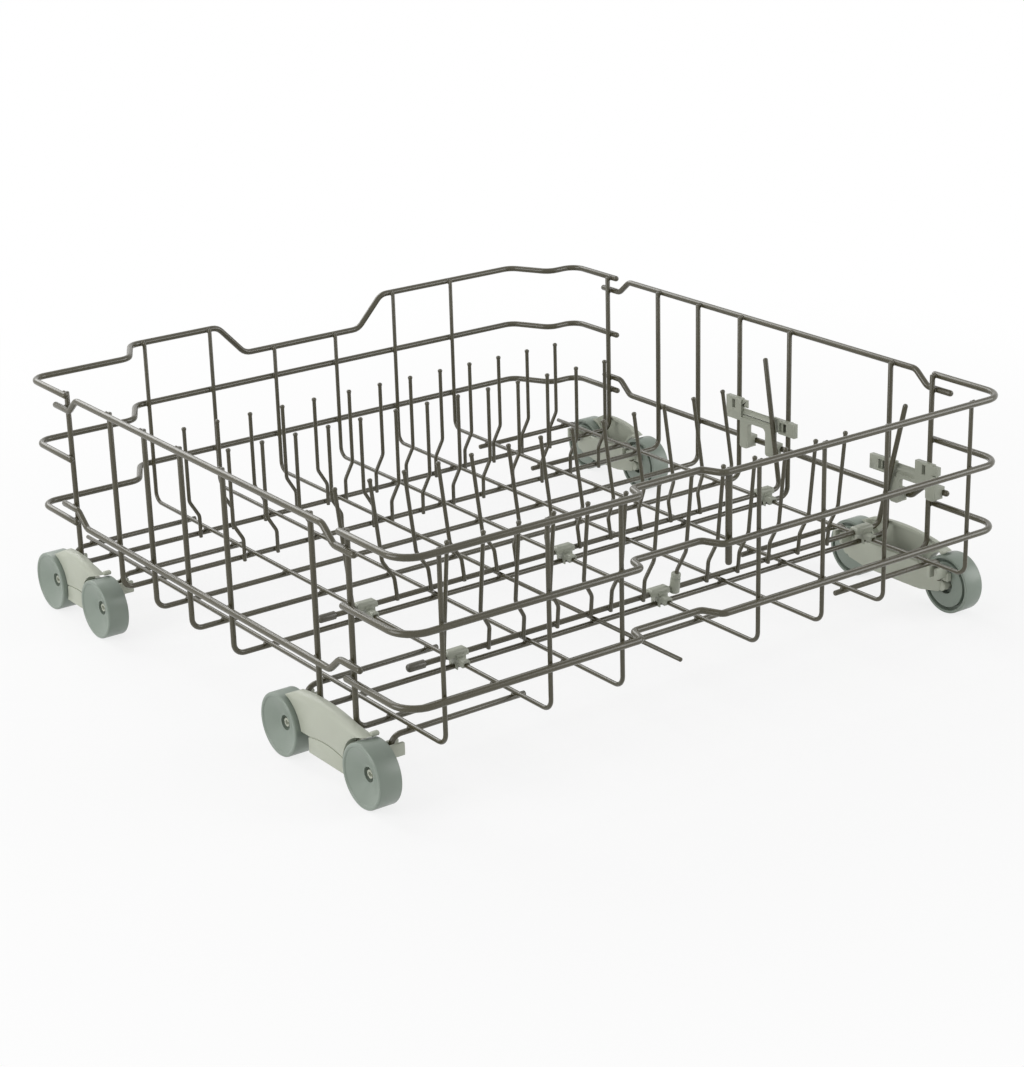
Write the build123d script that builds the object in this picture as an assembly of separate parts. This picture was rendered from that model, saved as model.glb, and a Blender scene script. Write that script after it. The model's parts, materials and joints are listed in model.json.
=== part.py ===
from build123d import *
import math
import os

os.makedirs("parts", exist_ok=True)

# Lower dishwasher basket. Millimetres, Z up, front towards -Y, right side towards +X.
# The wheels stand on Z = 0 and the middle of the basket is at X = Y = 0.

# Basket frame, to the centre lines of the rails
HALF_WIDTH = 260.0
HALF_DEPTH = 270.0
BOW_DEPTH = 33.0
RAIL_STEP = 50.0
AXLE_DROP = 57.0
FLOOR_DROP = 35.4

# Wire radii
RAIL_R = 2.4
CROSS_R = 2.0
DEPTH_R = 1.6
TINE_R = 1.5
FOLD_R = 2.0
STUB_R = 2.4

# Gap left at a weld, so that two welded wires touch without sharing volume
WELD = 0.02

# Bends
CORNER_R = 18.0
JOG_R = 12.0
RECESS_R = 5.0
FLOOR_BEND_R = 8.0
UPRIGHT_FOOT = 10.0
LAP_BEND_R = 8.0
HOOK_BEND_R = 8.0
HANDLE_BEND_R = 6.0
CHORDS = 2

# Front rails: start and end of the two steps out to the bow, and the return along the sides
BOW_RIGHT = 158.0
BOW_LEFT = 214.0
BOW_STEP = 18.0
FRONT_RETURN = 60.0

# Hand dip in the top front rail
DIP_HALF = 55.0
DIP_SLOPE = 24.0
DIP_DEPTH = 25.7

# Rear rails: the recess and the return along the sides
RECESS_DEPTH = 15.0
RECESS_RIGHT = 75.0
RECESS_RIGHT_STEP = 4.0
RECESS_LEFT = 5.0
RECESS_LEFT_STEP = 7.0
REAR_RETURN = 72.0

# Side rails: their ends step past the returns of the front and rear rails
SIDE_FRONT_CLEAR = 3.0
SIDE_REAR_CLEAR = 5.0
SIDE_FRONT_FLAT = 24.0
SIDE_REAR_FLAT = 25.0
SIDE_SLOPE = 13.0
SIDE_LAP = 11.0

# Cross wires, front to rear, measured from the middle
CROSS_Y = [-185.0, -117.0, -65.0, -13.0, 46.0, 158.5, 202.0]
WIRE_STANDS_OVER = 1.0

# Depth wires: six at an even pitch and one at each edge
DEPTH_PITCH = 59.0
EDGE_IN = 30.0
EDGE_FRONT_IN = 44.0
RECESS_WIRE_IN = 15.0

# Short stub in the middle of the rear wall
STUB_X = 3.5
STUB_LENGTH = 69.0

# Tines: two groups on each row, kinked towards each other
TINE_PITCH_RIGHT = 29.4
TINE_PITCH_LEFT = 29.6
TINES_RIGHT = 5
TINES_LEFT = 8
FIXED_RIGHT_X = 162.5
FIXED_LEFT_X = 12.0
FOLD_RIGHT_X = 160.0
FOLD_LEFT_X = 9.0
KINK_RIGHT = 8.0
KINK_LEFT = 7.5
KINK_START = 15.5
KINK_END = 29.0
TINE_TOP = 90.0
TINE_FOOT = 3.2
FIXED_FOOT = 2.4
FRONT_ROW_LEAN = 11.0
REAR_ROW_LEAN = -6.0

# Folding wires with their handles
FOLD_OVERHANG = 38.5
HANDLE_IN = 13.2
HANDLE_LENGTH = 106.0
FRONT_HANDLE_LEAN = 10.0
REAR_HANDLE_LEAN = -14.0
CAP_LENGTH = 14.0
CAP_WALL = 1.0
CAP_END = 1.5
CAP_FIT = 0.03

# Sleeve on one tine of the rear folding row
SLEEVE_TINE = 2
SLEEVE_R = 3.9
SLEEVE_SHIFT = 1.7
SLEEVE_SIDES = 12
SLEEVE_TOP = 13.5
SLEEVE_BOTTOM = 2.3
SLEEVE_FIT = 0.1

# Pivot clips that hold the folding wires on the depth wires
CLIP_WEB = 1.1
CLIP_BORE_FIT = 0.06
CLIP_BORE_SIDES = 12
CLIP_WIRE_FIT = 0.1
CLIP_NEAR = 2.6
CLIP_FAR = 5.0
CLIP_WALL = 2.6
CLIP_OVER = 2.2
CLIP_FIN = 3.4
CLIP_FIN_LENGTH = 3.0
CLIP_MOUTH = 2.8
CLIP_CROWN = 2.2
CLIP_FINGER = 6.0
CLIP_FINGER_WALL = 1.5

# Wheels
WHEEL_R = 22.5
WHEEL_WIDTH = 17.0
WHEEL_OUT = 9.0
WHEEL_SIDES = 24
RIM_WALL = 2.2
DISH_DEPTH = 6.0
HUB_R = 7.0
AXLE_R = 4.0
AXLE_SIDES = 12
AXLE_FIT = 0.1
AXLE_END = 1.2
END_PLAY = 0.4
FRONT_WHEELS_Y = [-217.5, -142.0]
REAR_WHEELS_Y = [123.5, 225.5]

# Wheel carriers
HOOD_OUT = 3.5
HOOD_WALL = 4.0
HOOD_GAP = 1.4
HOOD_TOP = 31.6
HOOD_FRONT_TIP = 26.0
HOOD_REAR_TIP = 25.0
HOOD_REAR_CUT = 9.0
HOOD_BOTTOM = 9.0
HOOD_SHELL = 2.2
HOOD_SHOULDER = 3.0
HOOD_CHORDS = 8
WALL_RECESS = 6.0
ARM_TOP = 12.0
ARM_END = 7.0
ARM_TAPER = 22.0
ARM_TIP_DROP = 3.5
WIRE_SLOT_FIT = 0.2
HOOK_FIT = 0.1
FORK_PRONG = 3.0
FORK_DEPTH = 6.0
FORK_LOW = 8.0
FORK_HIGH = 17.0
TAIL_LENGTH = 7.0
TAIL_DEPTH = 2.5

# Hook wires from the floor down into the carriers
HOOK_OVERHANG = 8.5
HOOK_LEG_LOW = 5.0

# Latch brackets on the left wall, measured from the left rail and the bottom rail
BRACKET_GAP = 0.2
BRACKET_WALL = 4.0
FRONT_BAR_LOW = 17.0
REAR_BAR_LOW = 15.5
BAR_HIGH = 10.0
BAR_RIM = 3.2
WEB_DEPTH = 1.8
NEAR_OUT = 13.5
NEAR_HIGH = 11.5
FAR_HALF = 9.0
FAR_HIGH = 18.5
TAB_LENGTH = 5.0
TAB_HIGH = 6.5
TAB_DROP = 1.0
WINDOW_WIDTH = 3.5
WINDOW_HIGH = 7.5
WINDOW_DROP = 2.0
POCKET_WIDTH = 8.0
POCKET_DEPTH = 2.2
JAW_WALL = 2.2
JAW_REACH = 4.0
JAW_FIT = 0.15
LEG_WIDTH = 9.6
LEG_FIT = 0.2
LEG_LIP = 2.6
LEG_REACH = 3.0
LEG_FOOT_R = 2.4
LEG_ARCH_R = 4.0
LATCH_DEPTH = 1.8
LATCH_FIT = 1.6
FRONT_LEGS_Y = [-0.5, 30.2]
REAR_LEGS_Y = [172.0, 209.3]

# Heights that follow from the sizes above
AXLE_Z = WHEEL_R
RAIL_LOW_Z = AXLE_Z + AXLE_DROP
RAIL_MID_Z = RAIL_LOW_Z + RAIL_STEP
RAIL_TOP_Z = RAIL_MID_Z + RAIL_STEP
CROSS_Z = RAIL_LOW_Z - FLOOR_DROP
DEPTH_Z = CROSS_Z + CROSS_R + WELD + DEPTH_R
FOLD_Z = DEPTH_Z + DEPTH_R + CLIP_WEB + FOLD_R
SIDE_WIRE_X = HALF_WIDTH - RAIL_R - WELD - CROSS_R
END_WIRE_Y = HALF_DEPTH - RAIL_R - WELD - DEPTH_R
CORNER_Y = -HALF_DEPTH + BOW_DEPTH
EDGE_X = HALF_WIDTH - EDGE_IN
HANDLE_X = HALF_WIDTH - HANDLE_IN
DEPTH_X = [DEPTH_PITCH * (k - 2.5) for k in range(6)]
OUTER_X = DEPTH_X[-1]
FOLD_RIGHT_END = OUTER_X + FOLD_OVERHANG
HOOK_INNER_END = OUTER_X - HOOK_OVERHANG

# Hood and arm planes, measured along X on the right side
WHEEL_INNER_X = HALF_WIDTH + WHEEL_OUT - WHEEL_WIDTH
ARM_OUT_X = WHEEL_INNER_X - END_PLAY
ARM_IN_X = ARM_OUT_X - HOOD_WALL
HOOK_LEG_X = ARM_IN_X - HOOK_FIT - CROSS_R


def rounded(corners, radius):
    """Polyline points through the corners, with each bend as a few chords."""
    points = [Vector(*c) for c in corners]
    out = [points[0]]
    for before, corner, after in zip(points, points[1:], points[2:]):
        back = (before - corner).normalized()
        ahead = (after - corner).normalized()
        turn = math.pi - math.radians(back.get_angle(ahead))
        centre = corner + (back + ahead).normalized() * (radius / math.cos(turn / 2))
        first = corner + back * (radius * math.tan(turn / 2)) - centre
        last = corner + ahead * (radius * math.tan(turn / 2)) - centre
        for k in range(CHORDS + 1):
            f = k / CHORDS
            share_first = math.sin((1 - f) * turn) / math.sin(turn)
            share_last = math.sin(f * turn) / math.sin(turn)
            out.append(centre + first * share_first + last * share_last)
    return out + [points[-1]]


def wire(points, radius, sides=8):
    """Bent wire with flats towards its neighbours, so that welded wires meet flat on flat."""
    path = Polyline(*points)
    along = path % 0
    across = Vector(0, 1, 0) if abs(along.X) > 0.9 else Vector(1, 0, 0)
    start = Plane(origin=path @ 0, x_dir=across, z_dir=along)
    turn = 180 / sides if sides % 4 == 0 else 0
    outline = RegularPolygon(radius, sides, major_radius=False, rotation=turn)
    return sweep(start * outline, path=path, transition=Transition.RIGHT)


def span(x, y, z):
    """Box between two limits on each axis."""
    size = [max(pair) - min(pair) for pair in (x, y, z)]
    middle = [sum(pair) / 2 for pair in (x, y, z)]
    return Pos(*middle) * Box(*size)


def save(name, shape):
    """Write one node; a list becomes a group of separate solids."""
    if isinstance(shape, list):
        shape = Compound(children=[solid for piece in shape for solid in piece.solids()])
    shape.label = name
    export_step(shape, f"parts/{name}.step")


def front_rail(z, dip):
    """Rail round the front, with the bow and, on the top one, the hand dip."""
    corners = [
        (HALF_WIDTH, CORNER_Y + FRONT_RETURN, z),
        (HALF_WIDTH, CORNER_Y, z),
        (BOW_RIGHT + BOW_STEP, CORNER_Y, z),
        (BOW_RIGHT, -HALF_DEPTH, z),
        (-BOW_LEFT, -HALF_DEPTH, z),
        (-BOW_LEFT - BOW_STEP, CORNER_Y, z),
        (-HALF_WIDTH, CORNER_Y, z),
        (-HALF_WIDTH, CORNER_Y + FRONT_RETURN, z),
    ]
    if dip:
        low = z - DIP_DEPTH
        dip_points = [
            (DIP_HALF + DIP_SLOPE, -HALF_DEPTH, z),
            (DIP_HALF, -HALF_DEPTH, low),
            (-DIP_HALF, -HALF_DEPTH, low),
            (-DIP_HALF - DIP_SLOPE, -HALF_DEPTH, z),
        ]
        corners[4:4] = dip_points
    return wire(rounded(corners, JOG_R), RAIL_R)


def rear_rail(z):
    """Rail round the rear, with the recess right of the middle."""
    inner = HALF_DEPTH - RECESS_DEPTH
    right = (HALF_WIDTH, HALF_DEPTH - REAR_RETURN, z)
    left = (-HALF_WIDTH, HALF_DEPTH - REAR_RETURN, z)
    recess = [
        (RECESS_RIGHT, HALF_DEPTH, z),
        (RECESS_RIGHT - RECESS_RIGHT_STEP, inner, z),
        (RECESS_LEFT + RECESS_LEFT_STEP, inner, z),
        (RECESS_LEFT, HALF_DEPTH, z),
    ]
    middle = rounded([(HALF_WIDTH, HALF_DEPTH, z), *recess, (-HALF_WIDTH, HALF_DEPTH, z)], RECESS_R)
    first = rounded([right, middle[0], middle[1]], CORNER_R)
    last = rounded([middle[-2], middle[-1], left], CORNER_R)
    return wire(first[:-1] + middle[1:-1] + last[1:], RAIL_R)


def side_rail(side, z, step):
    """Side rail whose ends step up or down past the returns."""
    x = side * HALF_WIDTH
    front_flat = CORNER_Y + FRONT_RETURN + SIDE_FRONT_CLEAR
    rear_flat = HALF_DEPTH - REAR_RETURN - SIDE_REAR_CLEAR
    corners = [
        (x, front_flat - SIDE_FRONT_FLAT, z + step),
        (x, front_flat, z + step),
        (x, front_flat + SIDE_SLOPE, z),
        (x, rear_flat - SIDE_SLOPE, z),
        (x, rear_flat, z + step),
        (x, rear_flat + SIDE_REAR_FLAT, z + step),
    ]
    return wire(rounded(corners, LAP_BEND_R), RAIL_R)


def cross_wire(y):
    """Wire across the floor and up both side walls."""
    top = RAIL_TOP_Z + WIRE_STANDS_OVER
    corners = [
        (-SIDE_WIRE_X, y, top),
        (-SIDE_WIRE_X, y, CROSS_Z),
        (SIDE_WIRE_X, y, CROSS_Z),
        (SIDE_WIRE_X, y, top),
    ]
    return wire(rounded(corners, FLOOR_BEND_R), CROSS_R)


def upright(x, end_y, top):
    """Bend at the end of a floor run and the straight wire up the wall from it."""
    way = 1 if end_y > 0 else -1
    foot = (x, end_y - way * UPRIGHT_FOOT, DEPTH_Z)
    corners = [foot, (x, end_y, DEPTH_Z), (x, end_y, top)]
    return wire(rounded(corners, FLOOR_BEND_R), DEPTH_R)


def depth_wire(x):
    """Run along the floor, and the uprights at its ends where a rail is there to weld to."""
    in_dip = abs(x) < DIP_HALF
    in_recess = RECESS_LEFT < x < RECESS_RIGHT
    rear_top = RAIL_TOP_Z + WIRE_STANDS_OVER
    front_top = rear_top - (DIP_DEPTH if in_dip else 0)
    front_y = -END_WIRE_Y + UPRIGHT_FOOT
    rear_y = END_WIRE_Y - UPRIGHT_FOOT
    solids = []
    if abs(x) == EDGE_X:
        front_y = -HALF_DEPTH + EDGE_FRONT_IN
    else:
        solids.append(upright(x, -END_WIRE_Y, front_top))
    if in_recess:
        rear_y = HALF_DEPTH - RECESS_WIRE_IN
    else:
        solids.append(upright(x, END_WIRE_Y, rear_top))
    return [wire([(x, front_y, DEPTH_Z), (x, rear_y, DEPTH_Z)], DEPTH_R), *solids]


def hook_wire(side, y):
    """Short floor wire whose outer end bends down into a wheel carrier."""
    corners = [
        (side * HOOK_INNER_END, y, CROSS_Z),
        (side * HOOK_LEG_X, y, CROSS_Z),
        (side * HOOK_LEG_X, y, AXLE_Z + HOOK_LEG_LOW),
    ]
    return wire(rounded(corners, HOOK_BEND_R), CROSS_R)


def tine(x, shift, carrier_r, foot):
    """Kinked tine standing behind a wire that lies along X through the origin."""
    y = carrier_r + WELD + TINE_R
    points = [
        (x + shift, y, -foot),
        (x + shift, y, KINK_START),
        (x, y, KINK_END),
        (x, y, TINE_TOP),
    ]
    return wire(points, TINE_R, 6)


def tine_row(right_x, left_x, carrier_r, foot):
    """Row of tines in two groups whose feet are set towards the middle."""
    right = [(right_x - TINE_PITCH_RIGHT * k, -KINK_RIGHT) for k in range(TINES_RIGHT)]
    left = [(left_x - TINE_PITCH_LEFT * k, KINK_LEFT) for k in range(TINES_LEFT)]
    return [tine(x, shift, carrier_r, foot) for x, shift in right + left]


def fold_wire(lean):
    """Wire that carries a folding row, bent up at the left into the handle, which leans from the tines."""
    rise = math.radians(lean)
    top = (-HANDLE_X, -HANDLE_LENGTH * math.sin(rise), HANDLE_LENGTH * math.cos(rise))
    corners = [(FOLD_RIGHT_END, 0, 0), (-HANDLE_X, 0, 0), top]
    return wire(rounded(corners, HANDLE_BEND_R), FOLD_R)


def bar(radius, sides, length):
    """Many-sided bar along X, centred, with flats at that distance from its axis."""
    outline = RegularPolygon(radius, sides, major_radius=False, rotation=180 / sides)
    return extrude(Plane.YZ * outline, length / 2, both=True)


def fold_cap():
    """Moulded cap pushed over the right end of a folding wire."""
    bore_r = FOLD_R + CAP_FIT
    outer = bar(bore_r + CAP_WALL, 8, CAP_LENGTH)
    bore = Pos(-CAP_END, 0, 0) * bar(bore_r, 8, CAP_LENGTH)
    return Pos(FOLD_RIGHT_END + CAP_FIT + CAP_END - CAP_LENGTH / 2, 0, 0) * (outer - bore)


def fold_sleeve():
    """Moulded sleeve round the foot of one tine and the wire that carries it."""
    x = FOLD_LEFT_X - TINE_PITCH_LEFT * SLEEVE_TINE + KINK_LEFT
    body_high = SLEEVE_TOP + SLEEVE_BOTTOM
    middle = (SLEEVE_TOP - SLEEVE_BOTTOM) / 2
    body = Pos(x, SLEEVE_SHIFT, middle) * Rot(0, 90, 0) * bar(SLEEVE_R, SLEEVE_SIDES, body_high)
    foot_y = FOLD_R + WELD + TINE_R
    half = TINE_R / math.cos(math.pi / 6) + SLEEVE_FIT
    deep = foot_y + TINE_R + SLEEVE_FIT
    body -= span((x - half, x + half), (0, deep), (-2 * body_high, 2 * body_high))
    body -= bar(FOLD_R + SLEEVE_FIT, 8, 4 * HALF_WIDTH)
    return body


def pivot_clip(x, y):
    """Clip astride a floor crossing, with a bearing for the folding wire above it."""
    bore_r = FOLD_R / math.cos(math.pi / 8) + CLIP_BORE_FIT
    reach = bore_r + CLIP_WALL
    low = DEPTH_Z - DEPTH_R
    top = FOLD_Z + bore_r + CLIP_OVER
    crown = top - CLIP_CROWN
    side = [
        (y - reach, low),
        (y - reach, crown),
        (y - reach + CLIP_CROWN, top),
        (y + reach - CLIP_CROWN, top),
        (y + reach, crown),
        (y + reach, low),
    ]
    limits_x = (x - CLIP_FAR, x + CLIP_NEAR)
    outline = make_face(Polyline(*side, close=True))
    body = extrude(Plane.YZ.offset(limits_x[0]) * outline, CLIP_FAR + CLIP_NEAR)
    fin_low = low - CLIP_FIN
    fin_in = CROSS_R + CLIP_WIRE_FIT
    for turn in (-1, 1):
        fin_y = (y + turn * fin_in, y + turn * (fin_in + CLIP_FIN_LENGTH))
        body += span(limits_x, fin_y, (fin_low, DEPTH_Z))
    channel = DEPTH_R + CLIP_WIRE_FIT
    finger_end = y - reach - CLIP_FINGER
    finger_top = DEPTH_Z + channel + CLIP_FINGER_WALL
    body += span((x - CLIP_NEAR, x + CLIP_NEAR), (finger_end, y), (low, finger_top))
    channel_y = (finger_end - CLIP_FINGER, y + 2 * reach)
    body -= span((x - channel, x + channel), channel_y, (fin_low - CLIP_FIN, DEPTH_Z + channel))
    body -= Pos(x, y, FOLD_Z) * bar(bore_r, CLIP_BORE_SIDES, 4 * CLIP_FAR)
    mouth = CLIP_MOUTH / 2
    body -= span((x - 2 * CLIP_FAR, x + 2 * CLIP_FAR), (y - 2 * reach, y), (FOLD_Z - mouth, FOLD_Z + mouth))
    return body


def lathe(profile, sides):
    """Many-sided turned solid about Z, with a flat on each axis, from (radius, height) points."""
    faces = []
    grow = 1 / math.cos(math.pi / sides)
    for k in range(sides):
        turns = [2 * math.pi * (k + f) / sides for f in (-0.5, 0.5)]
        for (r0, z0), (r1, z1) in zip(profile, profile[1:] + profile[:1]):
            ring = ((r0, z0, turns[0]), (r1, z1, turns[0]), (r1, z1, turns[1]), (r0, z0, turns[1]))
            corners = [Vector(r * grow * math.cos(t), r * grow * math.sin(t), z) for r, z, t in ring]
            faces.append(Face(Wire.make_polygon(corners)))
    return Solid(Shell(faces))


def wheel():
    """Wheel about Z, its inner face at the origin and its dished face on top."""
    bore_r = AXLE_R + AXLE_FIT
    hub_z = WHEEL_WIDTH - DISH_DEPTH
    rim_r = WHEEL_R - RIM_WALL
    profile = [
        (bore_r, 0),
        (WHEEL_R, 0),
        (WHEEL_R, WHEEL_WIDTH),
        (rim_r, WHEEL_WIDTH),
        (HUB_R, hub_z),
        (bore_r, hub_z),
    ]
    return lathe(profile, WHEEL_SIDES)


def stacked(stations):
    """Flat-sided solid through outlines of (y, z) points at stations along X."""
    rings = [[Vector(x, y, z) for y, z in points] for x, points in stations]
    faces = [Face(Wire.make_polygon(rings[0])), Face(Wire.make_polygon(rings[-1]))]
    for near, far in zip(rings, rings[1:]):
        for k in range(len(near)):
            faces.append(Face(Wire.make_polygon([near[k - 1], near[k], far[k], far[k - 1]])))
    return Solid(Shell(faces))


def hood_outline(front_y, tip_y, low_z, inset):
    """Side view of a hood, flat below and arched above in chords, its arch set in by a wall."""
    front_tip = (front_y, AXLE_Z + HOOD_FRONT_TIP - inset)
    rear_tip = (tip_y, AXLE_Z + HOOD_REAR_TIP - inset)
    crown = ((front_y + tip_y) / 2, AXLE_Z + HOOD_TOP - inset)
    arch = ThreePointArc(front_tip, crown, rear_tip)
    points = [arch @ (k / HOOD_CHORDS) for k in range(HOOD_CHORDS + 1)]
    return [(p.X, p.Y) for p in points] + [(tip_y, low_z), (front_y, low_z)]


def wheel_carrier(front_y, rear_y, wires_y):
    """Carrier on the right side: hollow hood between the wheels, arm behind them, stub axles and forks."""
    tip_y = rear_y - HOOD_REAR_CUT
    low_z = AXLE_Z - HOOD_BOTTOM
    sill_z = AXLE_Z + ARM_TOP
    hood_out_x = HALF_WIDTH + HOOD_OUT
    inner_plane = Plane.YZ.offset(ARM_IN_X)
    side = hood_outline(front_y, tip_y, low_z, 0)
    brow = hood_outline(front_y, tip_y, low_z, HOOD_SHOULDER)
    body = stacked([(ARM_IN_X, side), (hood_out_x - HOOD_SHOULDER, side), (hood_out_x, brow)])
    hollow = make_face(Polyline(*hood_outline(front_y, tip_y, sill_z, HOOD_SHELL), close=True))
    for y in (front_y, rear_y):
        arch = RegularPolygon(WHEEL_R + HOOD_GAP, WHEEL_SIDES)
        body -= inner_plane * Pos(y, AXLE_Z) * extrude(arch, hood_out_x - ARM_IN_X)
        hollow -= Pos(y, AXLE_Z) * RegularPolygon(WHEEL_R + HOOD_GAP + HOOD_SHELL, WHEEL_SIDES)
    body -= extrude(inner_plane * hollow, hood_out_x - HOOD_SHELL - ARM_IN_X)
    recess_x = (ARM_IN_X - HOOD_WALL, SIDE_WIRE_X + CROSS_R + WIRE_SLOT_FIT)
    recess_y = (wires_y[0] - WALL_RECESS, wires_y[-1] + WALL_RECESS)
    body -= span(recess_x, recess_y, (sill_z, AXLE_Z + 2 * HOOD_TOP))
    arm = [
        (front_y - ARM_END, sill_z),
        (front_y - ARM_END, AXLE_Z - ARM_TIP_DROP),
        (front_y + ARM_TAPER, low_z),
        (rear_y - ARM_TAPER, low_z),
        (rear_y + ARM_END, AXLE_Z - ARM_TIP_DROP),
        (rear_y + ARM_END, sill_z),
    ]
    body += extrude(inner_plane * make_face(Polyline(*arm, close=True)), ARM_OUT_X - ARM_IN_X)
    tail = (tip_y - TAIL_LENGTH, tip_y + TAIL_LENGTH)
    tail_top = AXLE_Z + HOOD_REAR_TIP
    body += span((ARM_IN_X, ARM_OUT_X), tail, (tail_top - TAIL_DEPTH, tail_top))
    axle_x = HALF_WIDTH + WHEEL_OUT - DISH_DEPTH + AXLE_END
    for y in (front_y, rear_y):
        axle = extrude(RegularPolygon(AXLE_R, AXLE_SIDES), axle_x - ARM_IN_X)
        body += inner_plane * Pos(y, AXLE_Z) * axle
        fork_in = CROSS_R + HOOK_FIT
        for turn in (-1, 1):
            prong = (y + turn * fork_in, y + turn * (fork_in + FORK_PRONG))
            fork_z = (AXLE_Z + FORK_LOW, AXLE_Z + FORK_HIGH)
            body += span((ARM_IN_X - FORK_DEPTH, ARM_OUT_X), prong, fork_z)
    return body


def side_face(y, z):
    """Rectangle between two limits, drawn in the side view."""
    return Pos(sum(y) / 2, sum(z) / 2) * Rectangle(max(y) - min(y), max(z) - min(z))


def latch_bracket(near_y, far_y, handle_y, legs, low):
    """Bracket on the left wall: bar with two clip plates, a catch tab, legs and a groove for the handle."""
    way = 1 if far_y > near_y else -1
    x_out = -SIDE_WIRE_X + CROSS_R + BRACKET_GAP
    x_in = x_out + BRACKET_WALL
    high = low + BAR_HIGH
    near_end = near_y - way * NEAR_OUT
    far_limits = (far_y - FAR_HALF, far_y + FAR_HALF)
    far_end = far_y + way * FAR_HALF
    far_in = far_y - way * FAR_HALF
    far_top = low + FAR_HIGH
    near_top = low + NEAR_HIGH
    tab_top = far_top - TAB_DROP
    hold = RAIL_R + LEG_FIT
    outline = side_face((near_end, far_end), (low, high))
    outline += side_face((near_end, near_y + way * NEAR_OUT), (low, near_top))
    outline += side_face(far_limits, (low, far_top))
    outline += side_face((far_y, far_y + FAR_HALF + TAB_LENGTH), (tab_top - TAB_HIGH, tab_top))
    for y, rail_z in legs:
        foot = rail_z - hold - LEG_LIP
        outline += side_face((y - LEG_WIDTH / 2, y + LEG_WIDTH / 2), (foot, high))
    corners = outline.vertices()
    feet = [v for v in corners if v.Y < low - LEG_ARCH_R]
    outline = fillet(feet, LEG_FOOT_R)
    bay = sorted(y for y, rail_z in legs)
    arches = [v for v in outline.vertices() if abs(v.Y - low) < WELD and bay[0] < v.X < bay[1]]
    outline = fillet(arches, LEG_ARCH_R)
    body = extrude(Plane.YZ.offset(x_out) * outline, BRACKET_WALL)
    web_y = (far_in, near_y + way * NEAR_OUT)
    body -= span((x_in - WEB_DEPTH, x_in + WEB_DEPTH), web_y, (low + BAR_RIM, far_top))
    through = (x_out - BRACKET_WALL, x_in + BRACKET_WALL)
    for y, top in ((near_y, near_top), (far_y, far_top)):
        window_top = top - WINDOW_DROP
        window_z = (window_top - WINDOW_HIGH, window_top)
        body -= span(through, (y - WINDOW_WIDTH / 2, y + WINDOW_WIDTH / 2), window_z)
    pocket_y = (near_y - POCKET_WIDTH / 2, near_y + POCKET_WIDTH / 2)
    pocket_top = near_top - WINDOW_DROP
    pocket_x = (x_in - POCKET_DEPTH, x_in + POCKET_DEPTH)
    body -= span(pocket_x, pocket_y, (pocket_top - WINDOW_HIGH, pocket_top))
    grip = CROSS_R + JAW_FIT
    jaw_in = x_in - POCKET_DEPTH
    for y in (near_y, far_y):
        for turn in (-1, 1):
            jaw = (y + turn * grip, y + turn * (grip + JAW_WALL))
            body += span((x_out - JAW_REACH, jaw_in), jaw, (low, high))
    for y, rail_z in legs:
        limits = (y - LEG_WIDTH / 2, y + LEG_WIDTH / 2)
        lip_in = x_in - BRACKET_WALL / 2
        foot = rail_z - hold - LEG_LIP
        lip_limits = (y - LEG_WIDTH / 2 + LEG_FOOT_R, y + LEG_WIDTH / 2 - LEG_FOOT_R)
        body += span((-HALF_WIDTH - LEG_REACH + RAIL_R, lip_in), lip_limits, (foot, rail_z - hold))
        body += span((-HALF_WIDTH, lip_in), limits, (rail_z + hold, rail_z + hold + LEG_LIP))
        body += span((-HALF_WIDTH + hold, lip_in), limits, (rail_z - hold, rail_z + hold))
    latch_half = FOLD_R + LATCH_FIT
    latch_y = (handle_y - latch_half, handle_y + latch_half)
    body -= span((x_in - LATCH_DEPTH, x_in + LATCH_DEPTH), latch_y, (low, far_top))
    return body


def flipped(shape):
    """The same piece on the left side."""
    return mirror(shape, about=Plane.YZ)


# Wire frame
for height, z in (("bottom", RAIL_LOW_Z), ("middle", RAIL_MID_Z), ("top", RAIL_TOP_Z)):
    save(f"front_rail_{height}", front_rail(z, height == "top"))
    save(f"rear_rail_{height}", rear_rail(z))
for side_name, side in (("right", 1), ("left", -1)):
    save(f"side_rail_top_{side_name}", side_rail(side, RAIL_TOP_Z, -SIDE_LAP))
    save(f"side_rail_bottom_{side_name}", side_rail(side, RAIL_LOW_Z, SIDE_LAP))
for number, y in enumerate(CROSS_Y, 1):
    save(f"cross_wire_{number}", cross_wire(y))
for number, x in enumerate([-EDGE_X, *DEPTH_X, EDGE_X], 1):
    save(f"depth_wire_{number}", depth_wire(x))
stub_y = HALF_DEPTH - RAIL_R - WELD - STUB_R
stub_top = RAIL_TOP_Z + WIRE_STANDS_OVER
save("rear_stub", wire([(-STUB_X, stub_y, stub_top), (-STUB_X, stub_y, stub_top - STUB_LENGTH)], STUB_R))

# Fixed rows on the two front cross wires
for number in (1, 2):
    row = tine_row(FIXED_RIGHT_X, FIXED_LEFT_X, CROSS_R, FIXED_FOOT)
    save(f"fixed_tines_{number}", [Pos(0, CROSS_Y[number - 1], CROSS_Z) * t for t in row])

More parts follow.
